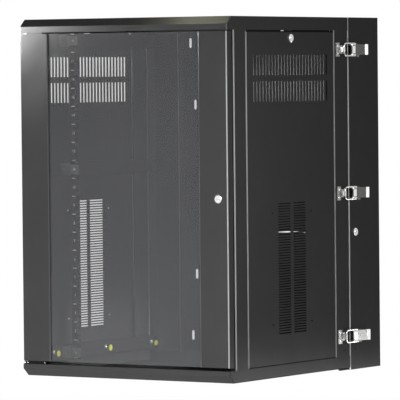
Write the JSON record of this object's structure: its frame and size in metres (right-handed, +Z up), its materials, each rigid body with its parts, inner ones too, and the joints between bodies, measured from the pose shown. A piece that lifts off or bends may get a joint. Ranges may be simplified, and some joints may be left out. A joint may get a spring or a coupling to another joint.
{
  "type": "wall mount network cabinet",
  "caption": "Black swing-out wall mount rack cabinet with a glass door, vented lift-off side panels, toggle latches at the rear seam and square-hole rack rails inside.",
  "frame": {"origin": "middle of the rear face that lies on the wall, at mid-height of the cabinet", "axes": "+X to the right seen from the front, +Y into the wall, +Z up"},
  "size_m": [0.6283, 0.7131, 0.8773],
  "materials": {
    "black_steel": "black powder coat, satin",
    "arm_steel": "grey powder coat, satin",
    "smoked_glass": "lightly smoked tempered glass",
    "seal_rubber": "matt black",
    "zinc_plate": "bright zinc plate",
    "lock_chrome": "bright",
    "earth_label": "yellow and green sticker"
  },
  "bodies": {
    "wall_section": {"back_plate": "black_steel", "wall_side_right": "black_steel", "wall_side_left": "black_steel", "wall_top": "black_steel", "wall_bottom": "black_steel", "rest_tab": "black_steel", "wall_lock_barrel": "lock_chrome", "hinge_wall_leaves": "black_steel", "hinge_pins": "zinc_plate", "latch_bases": "zinc_plate", "latch_pins": "zinc_plate", "earth_stud_wall": "zinc_plate", "earth_disc_wall": "earth_label"},
    "cabinet": {"roof": "black_steel", "floor": "black_steel", "front_post_right": "black_steel", "front_post_left": "black_steel", "rear_post_right": "black_steel", "rear_post_left": "black_steel", "side_channel_right_top": "black_steel", "side_channel_right_middle": "black_steel", "side_channel_right_bottom": "black_steel", "side_channel_left_top": "black_steel", "side_channel_left_middle": "black_steel", "side_channel_left_bottom": "black_steel", "rail_right": "black_steel", "rail_left": "black_steel", "rail_arms_right": "arm_steel", "rail_arms_left": "arm_steel", "rail_bolts": "zinc_plate", "door_hinge_pins": "zinc_plate", "door_hinge_leaves": "black_steel", "hinge_cabinet_leaves": "black_steel", "latch_keepers": "zinc_plate", "earth_studs_cabinet": "zinc_plate", "earth_discs_cabinet": "earth_label"},
    "door": {"door_stile_left": "black_steel", "door_stile_right": "black_steel", "door_glass": "smoked_glass", "glass_seals": "seal_rubber", "glass_retainers": "black_steel", "door_lock_barrel": "lock_chrome"},
    "door_lock": {"door_lock_plug": "lock_chrome", "door_lock_cam": "zinc_plate"},
    "side_panel_right": {"side_panel_right": "black_steel", "panel_lock_right_barrel": "lock_chrome"},
    "side_panel_left": {"side_panel_left": "black_steel", "panel_lock_left_barrel": "lock_chrome"},
    "panel_lock_right": {"panel_lock_right_plug": "lock_chrome", "panel_lock_right_cam": "zinc_plate"},
    "panel_lock_left": {"panel_lock_left_plug": "lock_chrome", "panel_lock_left_cam": "zinc_plate"},
    "wall_lock": {"wall_lock_plug": "lock_chrome", "wall_lock_hook": "zinc_plate"},
    "latch_lever_top": {"latch_lever_top": "zinc_plate"},
    "latch_bail_top": {"latch_bail_top": "zinc_plate"},
    "latch_lever_middle": {"latch_lever_middle": "zinc_plate"},
    "latch_bail_middle": {"latch_bail_middle": "zinc_plate"},
    "latch_lever_bottom": {"latch_lever_bottom": "zinc_plate"},
    "latch_bail_bottom": {"latch_bail_bottom": "zinc_plate"}
  },
  "joints": [
    {"name": "cabinet_swing", "type": "hinge", "parent": "wall_section", "child": "cabinet", "pos_m": [-0.3045, -0.1483, 0], "axis": [0, 0, -1], "range_deg": [0, 95]},
    {"name": "door_swing", "type": "hinge", "parent": "cabinet", "child": "door", "pos_m": [-0.288, -0.697, 0], "axis": [0, 0, -1], "range_deg": [0, 135]},
    {"name": "door_lock_turn", "type": "hinge", "parent": "door", "child": "door_lock", "pos_m": [0.2727, -0.709, 0.002], "axis": [0, -1, 0], "range_deg": [0, 90]},
    {"name": "side_panel_right_tilt", "type": "hinge", "parent": "cabinet", "child": "side_panel_right", "pos_m": [0.3, -0.4208, -0.4062], "axis": [0, 1, 0], "range_deg": [0, 30]},
    {"name": "side_panel_left_tilt", "type": "hinge", "parent": "cabinet", "child": "side_panel_left", "pos_m": [-0.3, -0.4208, -0.4062], "axis": [0, -1, 0], "range_deg": [0, 30]},
    {"name": "panel_lock_right_turn", "type": "hinge", "parent": "side_panel_right", "child": "panel_lock_right", "pos_m": [0.3, -0.4207, 0.384], "axis": [1, 0, 0], "range_deg": [0, 90]},
    {"name": "panel_lock_left_turn", "type": "hinge", "parent": "side_panel_left", "child": "panel_lock_left", "pos_m": [-0.3, -0.4207, 0.384], "axis": [1, 0, 0], "range_deg": [0, 90]},
    {"name": "wall_lock_turn", "type": "hinge", "parent": "wall_section", "child": "wall_lock", "pos_m": [0.3, -0.12, -0.098], "axis": [1, 0, 0], "range_deg": [0, 90]},
    {"name": "latch_lever_top_turn", "type": "hinge", "parent": "wall_section", "child": "latch_lever_top", "pos_m": [0.309, -0.142, 0.356], "axis": [0, 0, -1], "range_deg": [0, 150]},
    {"name": "latch_bail_top_turn", "type": "hinge", "parent": "latch_lever_top", "child": "latch_bail_top", "pos_m": [0.309, -0.127, 0.356], "axis": [0, 0, -1], "range_deg": [-150, 0]},
    {"name": "latch_lever_middle_turn", "type": "hinge", "parent": "wall_section", "child": "latch_lever_middle", "pos_m": [0.309, -0.142, 0], "axis": [0, 0, -1], "range_deg": [0, 150]},
    {"name": "latch_bail_middle_turn", "type": "hinge", "parent": "latch_lever_middle", "child": "latch_bail_middle", "pos_m": [0.309, -0.127, 0], "axis": [0, 0, -1], "range_deg": [-150, 0]},
    {"name": "latch_lever_bottom_turn", "type": "hinge", "parent": "wall_section", "child": "latch_lever_bottom", "pos_m": [0.309, -0.142, -0.356], "axis": [0, 0, -1], "range_deg": [0, 150]},
    {"name": "latch_bail_bottom_turn", "type": "hinge", "parent": "latch_lever_bottom", "child": "latch_bail_bottom", "pos_m": [0.309, -0.127, -0.356], "axis": [0, 0, -1], "range_deg": [-150, 0]}
  ],
  "couplings": [
    {"joint": "latch_bail_top_turn", "follows": "latch_lever_top_turn", "ratio": -1},
    {"joint": "latch_bail_middle_turn", "follows": "latch_lever_middle_turn", "ratio": -1},
    {"joint": "latch_bail_bottom_turn", "follows": "latch_lever_bottom_turn", "ratio": -1}
  ]
}
